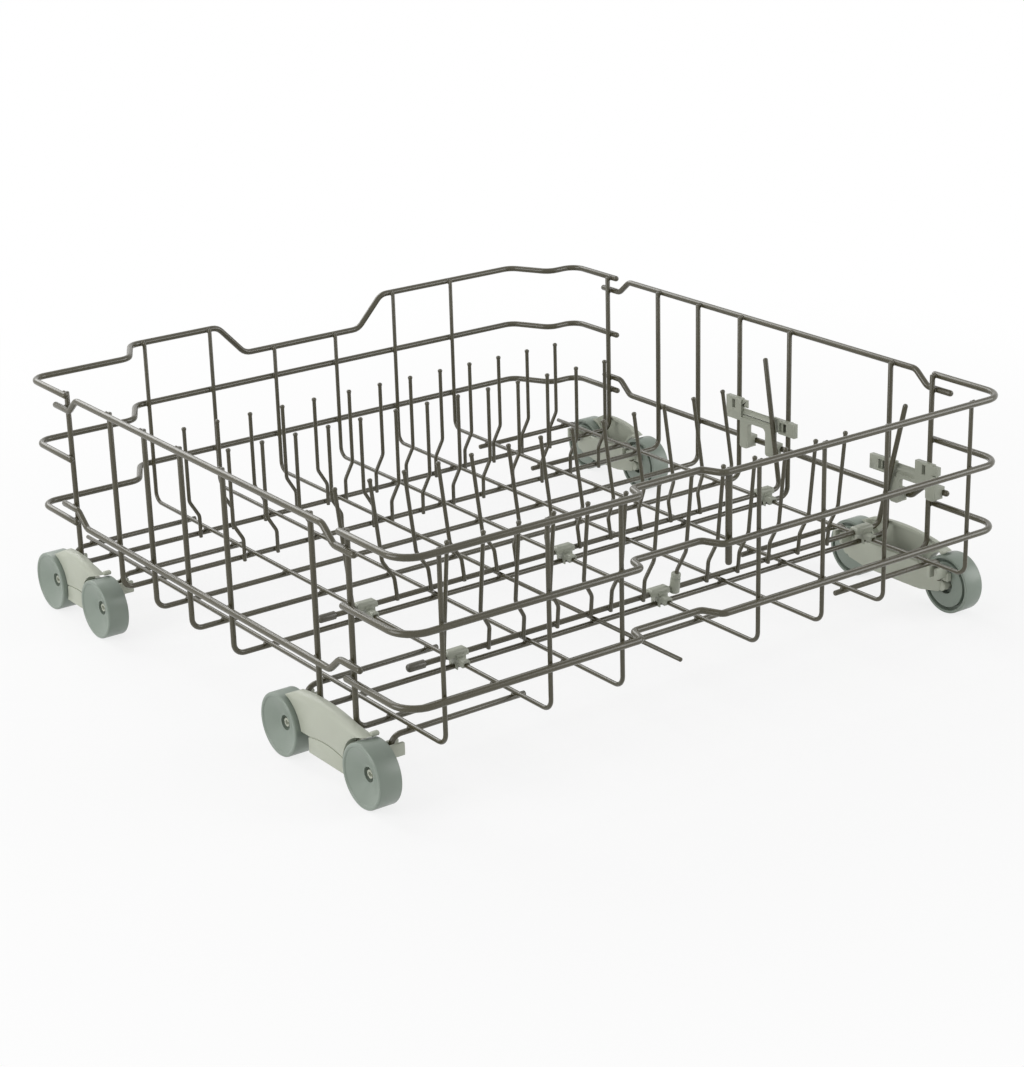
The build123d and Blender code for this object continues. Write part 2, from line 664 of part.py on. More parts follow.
# Folding rows above the fifth and sixth cross wires
FRONT_ROW_Y = CROSS_Y[4]
REAR_ROW_Y = CROSS_Y[5]
rows = (
    ("front", FRONT_ROW_Y, FRONT_ROW_LEAN, FRONT_HANDLE_LEAN),
    ("rear", REAR_ROW_Y, REAR_ROW_LEAN, REAR_HANDLE_LEAN),
)
for row_name, y, lean, handle_lean in rows:
    axis = Pos(0, y, FOLD_Z) * Rot(lean, 0, 0)
    save(f"fold_wire_{row_name}", axis * fold_wire(handle_lean - lean))
    save(f"fold_cap_{row_name}", axis * fold_cap())
    tines = tine_row(FOLD_RIGHT_X, FOLD_LEFT_X, FOLD_R, TINE_FOOT)
    save(f"fold_tines_{row_name}", [axis * t for t in tines])
    clip_places = (("right", OUTER_X), ("middle", DEPTH_X[2]), ("left", -EDGE_X))
    for clip_name, x in clip_places:
        save(f"pivot_clip_{row_name}_{clip_name}", pivot_clip(x, y))
save("fold_sleeve_rear", Pos(0, REAR_ROW_Y, FOLD_Z) * Rot(REAR_ROW_LEAN, 0, 0) * fold_sleeve())

# Latch brackets at the handles
front_low = RAIL_LOW_Z + FRONT_BAR_LOW
rear_low = RAIL_LOW_Z + REAR_BAR_LOW
front_rise = front_low + BAR_HIGH / 2 - FOLD_Z
rear_rise = rear_low + BAR_HIGH / 2 - FOLD_Z
front_latch_y = FRONT_ROW_Y - front_rise * math.tan(math.radians(FRONT_HANDLE_LEAN))
rear_latch_y = REAR_ROW_Y - rear_rise * math.tan(math.radians(REAR_HANDLE_LEAN))
front_legs = [(y, RAIL_LOW_Z) for y in FRONT_LEGS_Y]
rear_legs = [(REAR_LEGS_Y[0], RAIL_LOW_Z), (REAR_LEGS_Y[1], RAIL_LOW_Z + SIDE_LAP)]
save("latch_bracket_front", latch_bracket(CROSS_Y[4], CROSS_Y[3], front_latch_y, front_legs, front_low))
save("latch_bracket_rear", latch_bracket(CROSS_Y[5], CROSS_Y[6], rear_latch_y, rear_legs, rear_low))

# Wheel carriers, wheels and hook wires at the four corners
corners = (
    ("front", FRONT_WHEELS_Y, CROSS_Y[:1]),
    ("rear", REAR_WHEELS_Y, CROSS_Y[5:]),
)
for corner_name, wheels_y, wires_y in corners:
    carrier = wheel_carrier(*wheels_y, wires_y)
    save(f"wheel_carrier_{corner_name}_right", carrier)
    save(f"wheel_carrier_{corner_name}_left", flipped(carrier))
    for number, y in enumerate(wheels_y, 1):
        placed = Plane.YZ.offset(WHEEL_INNER_X) * Pos(y, AXLE_Z) * wheel()
        save(f"wheel_{corner_name}_right_{number}", placed)
        save(f"wheel_{corner_name}_left_{number}", flipped(placed))
    save(f"hook_wires_{corner_name}_right", [hook_wire(1, y) for y in wheels_y])
    save(f"hook_wires_{corner_name}_left", [hook_wire(-1, y) for y in wheels_y])
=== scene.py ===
import json
import math

import bpy
from mathutils import Matrix, Vector


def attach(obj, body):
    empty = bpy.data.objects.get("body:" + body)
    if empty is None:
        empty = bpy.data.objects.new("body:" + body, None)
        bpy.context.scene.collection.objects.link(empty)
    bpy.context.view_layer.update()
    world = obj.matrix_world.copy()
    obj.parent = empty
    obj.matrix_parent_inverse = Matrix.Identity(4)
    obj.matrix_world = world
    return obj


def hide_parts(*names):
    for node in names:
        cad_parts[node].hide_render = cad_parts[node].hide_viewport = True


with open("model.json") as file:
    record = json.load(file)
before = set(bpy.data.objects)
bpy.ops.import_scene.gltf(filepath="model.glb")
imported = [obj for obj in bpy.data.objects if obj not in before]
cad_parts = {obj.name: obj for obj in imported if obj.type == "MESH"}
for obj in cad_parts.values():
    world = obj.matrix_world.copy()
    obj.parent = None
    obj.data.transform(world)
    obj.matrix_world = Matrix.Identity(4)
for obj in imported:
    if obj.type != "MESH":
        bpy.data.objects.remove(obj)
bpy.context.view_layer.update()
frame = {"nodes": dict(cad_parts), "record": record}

BODY_OF = {node: body for body, nodes in frame["record"]["behaviour"]["bodies"].items() for node in nodes}

# Sizes in millimetres, as on the basket; MM turns them into metres.
MM = 0.001
TOUCH = 0.02

# Rails
HALF_WIDTH, HALF_DEPTH = 260.0, 270.0
RAIL_LOW_Z, RAIL_MID_Z, RAIL_TOP_Z = 79.5, 129.5, 179.5
RAIL_R, STUB_R, STUB_X = 2.4, 2.4, -3.5
CORNER_Y, FRONT_RETURN, REAR_RETURN = -237.0, 60.0, 72.0
BOW_RIGHT, BOW_LEFT, BOW_SLOPE = 158.0, -214.0, 18.0
DIP_HALF, DIP_SLOPE, DIP_DEPTH = 55.0, 24.0, 25.7
RECESS_LEFT, RECESS_RIGHT, RECESS_DEPTH = 5.0, 75.0, 15.0
SIDE_STEP, SIDE_STEPS_Y = 11.0, (-198.0, -174.0, -161.0, 180.0, 193.0, 218.0)

# Floor wires and uprights
CROSS_Z, CROSS_R, SIDE_WIRE_X = 44.1, 2.0, 255.58
DEPTH_Z, DEPTH_R, END_WIRE_Y = 47.72, 1.6, 265.98
WIRE_TOP_Z = RAIL_TOP_Z + 1
CROSS_Y = [-185.0, -117.0, -65.0, -13.0, 46.0, 158.5, 202.0]
DEPTH_X = [-230.0, -147.5, -88.5, -29.5, 29.5, 88.5, 147.5, 230.0]
EDGE_X, EDGE_FRONT_Y = 230.0, -226.0
HOOK_IN_X, HOOK_X = 139.0, 245.5

# Tines: each row has a right and a left group, each with its foot's shift, its pitch and its count.
TINE_R, TINE_BEND, TINE_TOP = 1.5, 7.0, 90.0
KINK_LOW, KINK_HIGH = 15.5, 29.0
TINE_GROUPS = ((-8.0, 29.4, 5), (7.5, 29.6, 8))
FIXED_FIRST_X, FIXED_FOOT = (162.5, 12.0), 2.4
FOLD_FIRST_X, FOLD_FOOT = (160.0, 9.0), 1.6

# Folding rows: end, place, lean of the tines and lean of the handle in degrees.
FOLD_Z, FOLD_R = 52.42, 2.0
FOLD_END_X, HANDLE_X, HANDLE_LENGTH = 186.0, 246.8, 106.0
REAR_LEAN = -6.0
FOLD_ROWS = (("front", CROSS_Y[4], 11.0, 10.0), ("rear", CROSS_Y[5], REAR_LEAN, -14.0))

# Running gear
AXLE_Z, TREAD_R, WHEEL_X, WHEEL_HALF = 22.5, 22.5, 260.5, 8.5
WHEELS_Y = {"front": (-217.5, -142.0), "rear": (123.5, 225.5)}
ARM_IN_X, ARM_OUT_X, VISOR_X, HOOD_OUT_X = 247.6, 251.6, 258.0, 265.3
ARM_LOW_Z, ARM_TOP_Z = AXLE_Z - 9, AXLE_Z + 12
HOOD_WALL, HOOD_TAIL, HOOD_TOP_Z = 2.2, 9.0, AXLE_Z + 33
SEAM_R, SEAM_WIDTH, SEAM_DEPTH = 86.0, 1.1, 0.9

# Wire ends, each as rings (distance from the end, ring size), both in wire radii.
CUT_END = [(0, 0.74), (0.1, 0.9), (0.3, 1.0)]
BLUNT_END = [(0, 0.35), (0.1, 0.68), (0.35, 0.88), (0.75, 1.0)]
BEAD_END = [(0, 0.6), (0.12, 0.86), (0.3, 1.0)]
BALL_END = [(0, 0.3), (0.12, 0.75), (0.4, 1.1), (0.9, 1.3), (1.5, 1.22), (2.0, 1.04), (2.4, 1.0)]
FLAT_END = [(0, 1.0)]


# Bench tools

def clear_bench():
    """Nothing is in edit mode and nothing is selected."""
    if bpy.context.object and bpy.context.object.mode != "OBJECT":
        bpy.ops.object.mode_set(mode="OBJECT")
    bpy.ops.object.select_all(action="DESELECT")


def take(*pieces):
    """Select only these pieces, the first of them active."""
    clear_bench()
    for piece in pieces:
        piece.select_set(True)
    bpy.context.view_layer.objects.active = pieces[0]


def put_down():
    """Leave edit mode and put the active piece's place into its mesh."""
    if bpy.context.object.mode != "OBJECT":
        bpy.ops.object.mode_set(mode="OBJECT")
    bpy.ops.object.transform_apply(location=True, rotation=True, scale=True)
    return bpy.context.object


def smoothed(piece, angle=40):
    take(piece)
    bpy.ops.object.shade_smooth_by_angle(angle=math.radians(angle))
    return piece


def copied(piece, shift):
    """A copy with its own mesh, moved by millimetres."""
    take(piece)
    bpy.ops.object.duplicate()
    bpy.ops.transform.translate(value=Vector(shift) * MM)
    return put_down()


def other_side(piece):
    """A copy mirrored to the left side."""
    take(piece)
    bpy.ops.object.duplicate()
    bpy.ops.transform.resize(value=(-1, 1, 1), center_override=(0, 0, 0))
    mirrored = put_down()
    bpy.ops.object.mode_set(mode="EDIT")
    bpy.ops.mesh.select_all(action="SELECT")
    bpy.ops.mesh.normals_make_consistent(inside=False)
    bpy.ops.object.mode_set(mode="OBJECT")
    return mirrored


def joined(pieces, name="joined"):
    take(*pieces)
    if len(pieces) > 1:
        bpy.ops.object.join()
    bpy.context.object.name = name
    return bpy.context.object


def dress(piece, finish, body):
    """Give a piece its finish and let it move with a body."""
    piece.data.materials.clear()
    piece.data.materials.append(finish.material)
    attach(piece, body)


def fit(piece, finish, node):
    """Name and dress a piece, and let it stand for its solid."""
    piece.name = f"{node}_{finish.ending}"
    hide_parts(node)
    dress(piece, finish, BODY_OF[node])


def fit_both(right, finish, node):
    """Fit a piece on the right side and its mirror copy; SIDE in the node's name stands for the side."""
    left = other_side(right)
    fit(right, finish, node.replace("SIDE", "right"))
    fit(left, finish, node.replace("SIDE", "left"))


def pull(step):
    bpy.ops.mesh.extrude_region_move(TRANSFORM_OT_translate={"value": step})


def drawn_wire(corners, bends, radius, tip=CUT_END, tail=CUT_END, sides=16):
    """Round wire: a ring pulled along each straight run and spun round each bend."""
    clear_bench()
    line = [Vector(corner) * MM for corner in corners]
    size = radius * MM
    if not isinstance(bends, list):
        bends = [bends] * (len(line) - 2)
    run = (line[1] - line[0]).normalized()
    facing = run.to_track_quat("Z", "Y").to_euler()
    bpy.ops.mesh.primitive_circle_add(
        vertices=sides, radius=size * tip[0][1], location=line[0], rotation=facing, enter_editmode=True)
    for (near, small), (far, large) in zip(tip, tip[1:]):
        pull(run * (far - near) * size)
        grow = large / small
        bpy.ops.transform.resize(value=(grow, grow, grow), center_override=line[0] + run * far * size)
    here = line[0] + run * tip[-1][0] * size
    for corner, after, bend in zip(line[1:], line[2:], bends):
        ahead = (after - corner).normalized()
        turn = run.angle(ahead)
        trim = bend * MM * math.tan(turn / 2)
        inward = (ahead - run * run.dot(ahead)).normalized()
        start = corner - run * trim
        if (start - here).length > 1e-7:
            pull(start - here)
        steps = max(3, round(turn / math.radians(12)))
        bpy.ops.mesh.spin(
            steps=steps, angle=-turn, center=start + inward * bend * MM, axis=run.cross(ahead).normalized())
        run = ahead
        here = corner + ahead * trim
    pull(line[-1] - run * tail[-1][0] * size - here)
    for (far, large), (near, small) in zip(tail[::-1], tail[-2::-1]):
        pull(run * (far - near) * size)
        grow = small / large
        bpy.ops.transform.resize(value=(grow, grow, grow), center_override=line[-1] - run * near * size)
    bpy.ops.mesh.select_all(action="SELECT")
    bpy.ops.mesh.fill_holes(sides=0)
    bpy.ops.mesh.normals_make_consistent(inside=False)
    return smoothed(put_down())


def block(x, y, z):
    """Moulded block between two limits on each axis."""
    clear_bench()
    limits = [sorted(pair) for pair in (x, y, z)]
    middle = [(a + b) / 2 * MM for a, b in limits]
    size = [(b - a) * MM for a, b in limits]
    bpy.ops.mesh.primitive_cube_add(size=1, location=middle, scale=size)
    return put_down()


def round_bar(x, y, z, radius, sides=64):
    """Bar along X between two limits, at height z."""
    clear_bench()
    length = abs(x[1] - x[0])
    bpy.ops.mesh.primitive_cylinder_add(
        vertices=sides, radius=radius * MM, depth=length * MM,
        location=((x[0] + x[1]) / 2 * MM, y * MM, z * MM), rotation=(0, math.pi / 2, 0))
    return put_down()


def worked(base, tool, operation):
    """Add, cut or trim one piece with another, which is used up."""
    take(base)
    change = base.modifiers.new(operation, "BOOLEAN")
    change.operation = operation
    change.solver = "EXACT"
    change.object = tool
    bpy.ops.object.modifier_apply(modifier=change.name)
    bpy.data.objects.remove(tool)
    return base


def cut(base, *tools):
    for tool in tools:
        worked(base, tool, "DIFFERENCE")
    return base


def trimmed(piece, point, away):
    """Cut off what lies on the far side of a plane and close the cut."""
    take(piece)
    bpy.ops.object.mode_set(mode="EDIT")
    bpy.ops.mesh.select_all(action="SELECT")
    bpy.ops.mesh.bisect(plane_co=Vector(point) * MM, plane_no=away, clear_outer=True, use_fill=True)
    bpy.ops.object.mode_set(mode="OBJECT")
    return piece


def cleaned(piece):
    """Merge doubles and take out the flat seams that cutting leaves."""
    take(piece)
    bpy.ops.object.mode_set(mode="EDIT")
    bpy.ops.mesh.select_all(action="SELECT")
    bpy.ops.mesh.remove_doubles(threshold=1e-6)
    bpy.ops.mesh.dissolve_limited(angle_limit=math.radians(0.5))
    bpy.ops.object.mode_set(mode="OBJECT")
    return piece


def softened(piece, width, segments=2, angle=35):
    """Round the moulded edges."""
    take(piece)
    change = piece.modifiers.new("edges", "BEVEL")
    change.width = width * MM
    change.segments = segments
    change.limit_method = "ANGLE"
    change.angle_limit = math.radians(angle)
    bpy.ops.object.modifier_apply(modifier=change.name)
    return smoothed(piece, 35)


def pick_edges(piece, wanted):
    """In edit mode, select the edges whose two ends, in millimetres, are both wanted."""
    bpy.ops.mesh.select_mode(type="EDGE")
    bpy.ops.mesh.select_all(action="DESELECT")
    bpy.ops.object.mode_set(mode="OBJECT")
    points = [wanted(v.co / MM) for v in piece.data.vertices]
    for edge in piece.data.edges:
        edge.select = all(points[k] for k in edge.vertices)
    bpy.ops.object.mode_set(mode="EDIT")


def pick_faces(piece, wanted):
    """In edit mode, select the faces whose normal is wanted."""
    bpy.ops.mesh.select_mode(type="FACE")
    bpy.ops.mesh.select_all(action="DESELECT")
    bpy.ops.object.mode_set(mode="OBJECT")
    for face in piece.data.polygons:
        face.select = wanted(face.normal)
    bpy.ops.object.mode_set(mode="EDIT")


def rounded_edges(piece, wanted, width, segments=4):
    """Round only the wanted edges."""
    take(piece)
    bpy.ops.object.mode_set(mode="EDIT")
    pick_edges(piece, wanted)
    bpy.ops.mesh.bevel(
        offset=width * MM, offset_type="OFFSET", segments=segments, affect="EDGES", clamp_overlap=True)
    bpy.ops.object.mode_set(mode="OBJECT")
    return piece


# Finishes

class Wire:
    """A socket that can be used in sums; node adds any other node."""

    def __init__(self, tree, socket=None):
        self.tree = tree
        self.socket = socket

    def node(self, kind, settings=None, inputs=None, output=0):
        made = self.tree.nodes.new(kind)
        for key, value in (settings or {}).items():
            setattr(made, key, value)
        for key, value in (inputs or {}).items():
            if isinstance(value, Wire):
                self.tree.links.new(value.socket, made.inputs[key])
            else:
                made.inputs[key].default_value = value
        return Wire(self.tree, made.outputs[output]) if len(made.outputs) else Wire(self.tree)

    def sum(self, operation, first, second):
        return self.node("ShaderNodeMath", {"operation": operation}, {0: first, 1: second})

    def __add__(self, other):
        return self.sum("ADD", self, other)

    def __radd__(self, other):
        return self.sum("ADD", other, self)

    def __mul__(self, other):
        return self.sum("MULTIPLY", self, other)

    def __rmul__(self, other):
        return self.sum("MULTIPLY", other, self)


def linear(red, green, blue):
    """Colour from 0 to 255 values as read on a screen."""
    parts = [c / 255 for c in (red, green, blue)]
    return tuple(c / 12.92 if c < 0.04045 else ((c + 0.055) / 1.055) ** 2.4 for c in parts) + (1.0,)


class Finish:
    """One material, with the record's slot that it belongs to and the ending of its pieces' names."""

    def __init__(self, name, slot="", ending="moulded"):
        self.slot = slot
        self.ending = ending
        self.material = bpy.data.materials.new(name)
        self.material.use_nodes = True
        tree = self.material.node_tree
        tree.nodes.clear()
        self.start = Wire(tree)
        self.place = self.start.node("ShaderNodeTexCoord", output="Object")

    def grain(self, scale, detail=2.0):
        inputs = {"Vector": self.place, "Scale": scale, "Detail": detail}
        return self.start.node("ShaderNodeTexNoise", {}, inputs)

    def blend(self, share, first, second):
        inputs = {"Factor": share, 6: first, 7: second}
        return self.start.node("ShaderNodeMix", {"data_type": "RGBA"}, inputs, output=2)

    def bump(self, height, distance, strength):
        inputs = {"Height": height, "Distance": distance, "Strength": strength}
        return self.start.node("ShaderNodeBump", {}, inputs)

    def close(self, **sockets):
        names = {key.replace("_", " ").title(): value for key, value in sockets.items()}
        shader = self.start.node("ShaderNodeBsdfPrincipled", {}, names)
        self.start.node("ShaderNodeOutputMaterial", {}, {"Surface": shader})
        return self


def coated_wire():
    """Dark olive coat with a gloss, a fine orange peel and paler clouds where it is thin."""
    finish = Finish("coated_wire", "coated_wire", "wire")
    cloud = finish.grain(14.0)
    thin = finish.grain(160.0, 3.0)
    peel = finish.grain(500.0)
    colour = finish.blend(0.7 * cloud + 0.3 * thin, linear(58, 54, 34), linear(80, 76, 56))
    return finish.close(
        base_color=colour, roughness=0.25 + 0.06 * peel, normal=finish.bump(peel, 0.00001, 0.1),
        coat_weight=0.25, coat_roughness=0.12)


def moulded(slot, dark, light, smooth, rough):
    """Moulded plastic with faint flow clouds and a fine matt texture."""
    finish = Finish(f"{slot}_plastic", slot)
    cloud = finish.grain(22.0, 3.0)
    fine = finish.grain(2600.0)
    colour = finish.blend(cloud, linear(*dark), linear(*light))
    roughness = smooth + (rough - smooth) * fine
    return finish.close(base_color=colour, roughness=roughness, normal=finish.bump(fine, 0.00003, 0.35))


WIRE_COAT = coated_wire()
CARRIER_PLASTIC = moulded("carrier", (170, 174, 159), (184, 188, 173), 0.34, 0.46)
WHEEL_PLASTIC = moulded("wheel", (127, 138, 127), (141, 151, 141), 0.3, 0.42)
CLIP_PLASTIC = moulded("clip", (146, 150, 136), (164, 167, 153), 0.34, 0.46)
CAP_PLASTIC = moulded("cap", (74, 72, 61), (88, 85, 73), 0.26, 0.36)


# Wire frame

def in_dip(x):
    return abs(x) < DIP_HALF


def in_recess(x):
    return RECESS_LEFT < x < RECESS_RIGHT


def front_rail(z, dip):
    """Rail with a bow to the front, and with a dip for the hand where asked."""
    front_y, end_y = -HALF_DEPTH, CORNER_Y + FRONT_RETURN
    right = [(HALF_WIDTH, end_y, z), (HALF_WIDTH, CORNER_Y, z), (BOW_RIGHT + BOW_SLOPE, CORNER_Y, z)]
    left = [(BOW_LEFT - BOW_SLOPE, CORNER_Y, z), (-HALF_WIDTH, CORNER_Y, z), (-HALF_WIDTH, end_y, z)]
    bow = [(BOW_RIGHT, front_y, z), (BOW_LEFT, front_y, z)]
    if dip:
        low_z, outer = z - DIP_DEPTH, DIP_HALF + DIP_SLOPE
        bow[1:1] = [(outer, front_y, z), (DIP_HALF, front_y, low_z)]
        bow[3:3] = [(-DIP_HALF, front_y, low_z), (-outer, front_y, z)]
    return drawn_wire(right + bow + left, 12, RAIL_R, BLUNT_END, BLUNT_END)


def rear_rail(z):
    """Rail with a recess right of the middle."""
    rear_y, inner_y, end_y = HALF_DEPTH, HALF_DEPTH - RECESS_DEPTH, HALF_DEPTH - REAR_RETURN
    right = [(HALF_WIDTH, end_y, z), (HALF_WIDTH, rear_y, z), (RECESS_RIGHT, rear_y, z)]
    left = [(RECESS_LEFT, rear_y, z), (-HALF_WIDTH, rear_y, z), (-HALF_WIDTH, end_y, z)]
    corners = right + [(RECESS_RIGHT - 4, inner_y, z), (RECESS_LEFT + 7, inner_y, z)] + left
    return drawn_wire(corners, [18, 5, 5, 5, 5, 18], RAIL_R, BLUNT_END, BLUNT_END)


def side_rail(z, step):
    """Right side rail whose ends step up or down past the other rails."""
    corners = [(HALF_WIDTH, y, z + rise) for y, rise in zip(SIDE_STEPS_Y, (step, step, 0, 0, step, step))]
    return drawn_wire(corners, 8, RAIL_R, BLUNT_END, BLUNT_END)


def cross_wire(y):
    """Floor wire from side to side that rises at both ends."""
    corners = [
        (-SIDE_WIRE_X, y, WIRE_TOP_Z), (-SIDE_WIRE_X, y, CROSS_Z), (SIDE_WIRE_X, y, CROSS_Z),
        (SIDE_WIRE_X, y, WIRE_TOP_Z)]
    return drawn_wire(corners, 8, CROSS_R)


def depth_wire(x):
    """Floor wire from front to rear that rises where a rail is there to meet it."""
    front = [(x, -END_WIRE_Y, WIRE_TOP_Z - (DIP_DEPTH if in_dip(x) else 0)), (x, -END_WIRE_Y, DEPTH_Z)]
    if abs(x) == EDGE_X:
        front = [(x, EDGE_FRONT_Y, DEPTH_Z)]
    rear = [(x, END_WIRE_Y, DEPTH_Z), (x, END_WIRE_Y, WIRE_TOP_Z)]
    if in_recess(x):
        rear = [(x, HALF_DEPTH - RECESS_DEPTH, DEPTH_Z)]
    return drawn_wire(front + rear, 8, DEPTH_R)


def hook_wire(y):
    """Short floor wire whose outer end bends down into a wheel carrier."""
    return drawn_wire([(HOOK_IN_X, y, CROSS_Z), (HOOK_X, y, CROSS_Z), (HOOK_X, y, AXLE_Z + 5)], 8, CROSS_R)


for height, z in (("bottom", RAIL_LOW_Z), ("middle", RAIL_MID_Z), ("top", RAIL_TOP_Z)):
    fit(front_rail(z, height == "top"), WIRE_COAT, f"front_rail_{height}")
    fit(rear_rail(z), WIRE_COAT, f"rear_rail_{height}")
for height, z, step in (("top", RAIL_TOP_Z, -SIDE_STEP), ("bottom", RAIL_LOW_Z, SIDE_STEP)):
    fit_both(side_rail(z, step), WIRE_COAT, f"side_rail_{height}_SIDE")

first_cross = cross_wire(CROSS_Y[0])
for number, y in reversed(list(enumerate(CROSS_Y, 1))):
    wire = copied(first_cross, (0, y - CROSS_Y[0], 0)) if number > 1 else first_cross
    fit(wire, WIRE_COAT, f"cross_wire_{number}")
for number, x in enumerate(DEPTH_X, 1):
    fit(depth_wire(x), WIRE_COAT, f"depth_wire_{number}")

stub_y = HALF_DEPTH - RAIL_R - STUB_R - TOUCH
stub_line = [(STUB_X, stub_y, WIRE_TOP_Z), (STUB_X, stub_y, RAIL_TOP_Z - 68)]
fit(drawn_wire(stub_line, [], STUB_R, BLUNT_END, BLUNT_END), WIRE_COAT, "rear_stub")

for end, wheels_y in WHEELS_Y.items():
    fit_both(joined([hook_wire(y) for y in wheels_y]), WIRE_COAT, f"hook_wires_{end}_SIDE")


# Tines and folding rows

def leaned(point, lean):
    """A point beside a row's own wire, tipped towards the front by degrees."""
    x, y, z = point
    c, s = math.cos(math.radians(lean)), math.sin(math.radians(lean))
    return Vector((x, y * c - z * s, y * s + z * c))


def tine_row(row_y, row_z, carrier_r, foot, firsts, lean, straight_first=False):
    """Two groups of kinked tines, each group copied from its first kinked tine."""
    y = carrier_r + TOUCH + TINE_R

    def tine(line):
        corners = [leaned((x, y, z), lean) + Vector((0, row_y, row_z)) for x, z in line]
        return drawn_wire(corners, TINE_BEND, TINE_R, CUT_END, BALL_END, 12)

    row = []
    for first_x, (shift, pitch, count) in zip(firsts, TINE_GROUPS):
        if straight_first and first_x == firsts[0]:
            row.append(tine([(first_x, -foot), (first_x, TINE_TOP)]))
            first_x -= pitch
            count -= 1
        foot_x = first_x + shift
        kinked = tine([(foot_x, -foot), (foot_x, KINK_LOW), (first_x, KINK_HIGH), (first_x, TINE_TOP)])
        row.append(kinked)
        row += [copied(kinked, (-pitch * k, 0, 0)) for k in range(1, count)]
    return joined(row)


for number in (1, 2):
    row = tine_row(CROSS_Y[number - 1], CROSS_Z, CROSS_R, FIXED_FOOT, FIXED_FIRST_X, 0)
    fit(row, WIRE_COAT, f"fixed_tines_{number}")

for end, row_y, lean, handle_lean in FOLD_ROWS:
    row = tine_row(row_y, FOLD_Z, FOLD_R, FOLD_FOOT, FOLD_FIRST_X, lean, True)
    fit(row, WIRE_COAT, f"fold_tines_{end}")
    line = [(FOLD_END_X, 0, 0), (-HANDLE_X, 0, 0), leaned((-HANDLE_X, 0, HANDLE_LENGTH), handle_lean)]
    corners = [Vector(p) + Vector((0, row_y, FOLD_Z)) for p in line]
    fit(drawn_wire(corners, 6, FOLD_R, CUT_END, BLUNT_END), WIRE_COAT, f"fold_wire_{end}")


# Welds, with the coat pooled round them

def weld(place, way, radius):
    """Flat round bead between two wires that touch, its axis along way."""
    reach = Vector(way) * radius * 0.36
    return drawn_wire([Vector(place) - reach, Vector(place) + reach], [], radius, BEAD_END, BEAD_END, 12)


def spread(bead, shifts):
    """A bead and its copies."""
    return [bead] + [copied(bead, shift) for shift in shifts]


def floor_welds():
    """Beads where the floor wires cross, and where the hook wires meet them."""
    z = CROSS_Z + CROSS_R + TOUCH / 2
    first = weld((DEPTH_X[0], CROSS_Y[0], z), (0, 0, 1), 2.4)
    row = joined(spread(first, [(x - DEPTH_X[0], 0, 0) for x in DEPTH_X[1:]]))
    rows = spread(row, [(0, y - CROSS_Y[0], 0) for y in CROSS_Y[1:]])
    hook_y = WHEELS_Y["front"] + WHEELS_Y["rear"]
    first = weld((DEPTH_X[0], hook_y[0], z), (0, 0, 1), 2.4)
    row = joined(spread(first, [(x - DEPTH_X[0], 0, 0) for x in (DEPTH_X[1], DEPTH_X[6], DEPTH_X[7])]))
    return joined(rows + spread(row, [(0, y - hook_y[0], 0) for y in hook_y[1:]]), "floor_welds")


def wall_welds():
    """Beads where the uprights meet the rails, on all four sides."""
    side_x, end_y = SIDE_WIRE_X + CROSS_R, END_WIRE_Y + DEPTH_R
    laps = (RAIL_LOW_Z + SIDE_STEP, RAIL_MID_Z, RAIL_TOP_Z - SIDE_STEP)
    first = weld((side_x, CROSS_Y[0], RAIL_LOW_Z), (1, 0, 0), 2.35)
    places = [(y, z) for y in CROSS_Y for z in (RAIL_LOW_Z, RAIL_TOP_Z)]
    places += [(y, z) for y in (CROSS_Y[0], CROSS_Y[6]) for z in laps]
    side = joined(spread(first, [(0, y - CROSS_Y[0], z - RAIL_LOW_Z) for y, z in places[1:]]))
    other = other_side(side)
    first = weld((DEPTH_X[0], end_y, RAIL_LOW_Z), (0, 1, 0), 2.4)
    levels = (RAIL_LOW_Z, RAIL_MID_Z, RAIL_TOP_Z)
    places = [(x, end_y, z) for x in DEPTH_X if not in_recess(x) for z in levels]
    places += [(STUB_X, end_y, z) for z in levels[1:]]
    for x in DEPTH_X[1:7]:
        drop = DIP_DEPTH if in_dip(x) else 0
        places += [(x, -end_y, z) for z in (RAIL_LOW_Z, RAIL_MID_Z, RAIL_TOP_Z - drop)]
    start = Vector(places[0])
    ends = spread(first, [Vector(place) - start for place in places[1:]])
    return joined([side, other] + ends, "wall_welds")


def tine_welds(name, row_y, row_z, carrier_r, firsts, lean, straight_first=False):
    """Beads at the feet of a row's tines."""
    groups = zip(firsts, TINE_GROUPS)
    feet = [x + shift - pitch * k for x, (shift, pitch, count) in groups for k in range(count)]
    if straight_first:
        feet[0] = firsts[0]
    place = leaned((feet[0], carrier_r, 0), lean) + Vector((0, row_y, row_z))
    first = weld(place, leaned((0, 1, 0), lean), 1.9)
    return joined(spread(first, [(x - feet[0], 0, 0) for x in feet[1:]]), name)


dress(floor_welds(), WIRE_COAT, "basket")
dress(wall_welds(), WIRE_COAT, "basket")
for number in (1, 2):
    beads = tine_welds(f"fixed_tine_welds_{number}", CROSS_Y[number - 1], CROSS_Z, CROSS_R, FIXED_FIRST_X, 0)
    dress(beads, WIRE_COAT, "basket")
for end, row_y, lean, _ in FOLD_ROWS:
    beads = tine_welds(f"fold_tine_welds_{end}", row_y, FOLD_Z, FOLD_R, FOLD_FIRST_X, lean, True)
    dress(beads, WIRE_COAT, f"{end}_row")


# Wheels

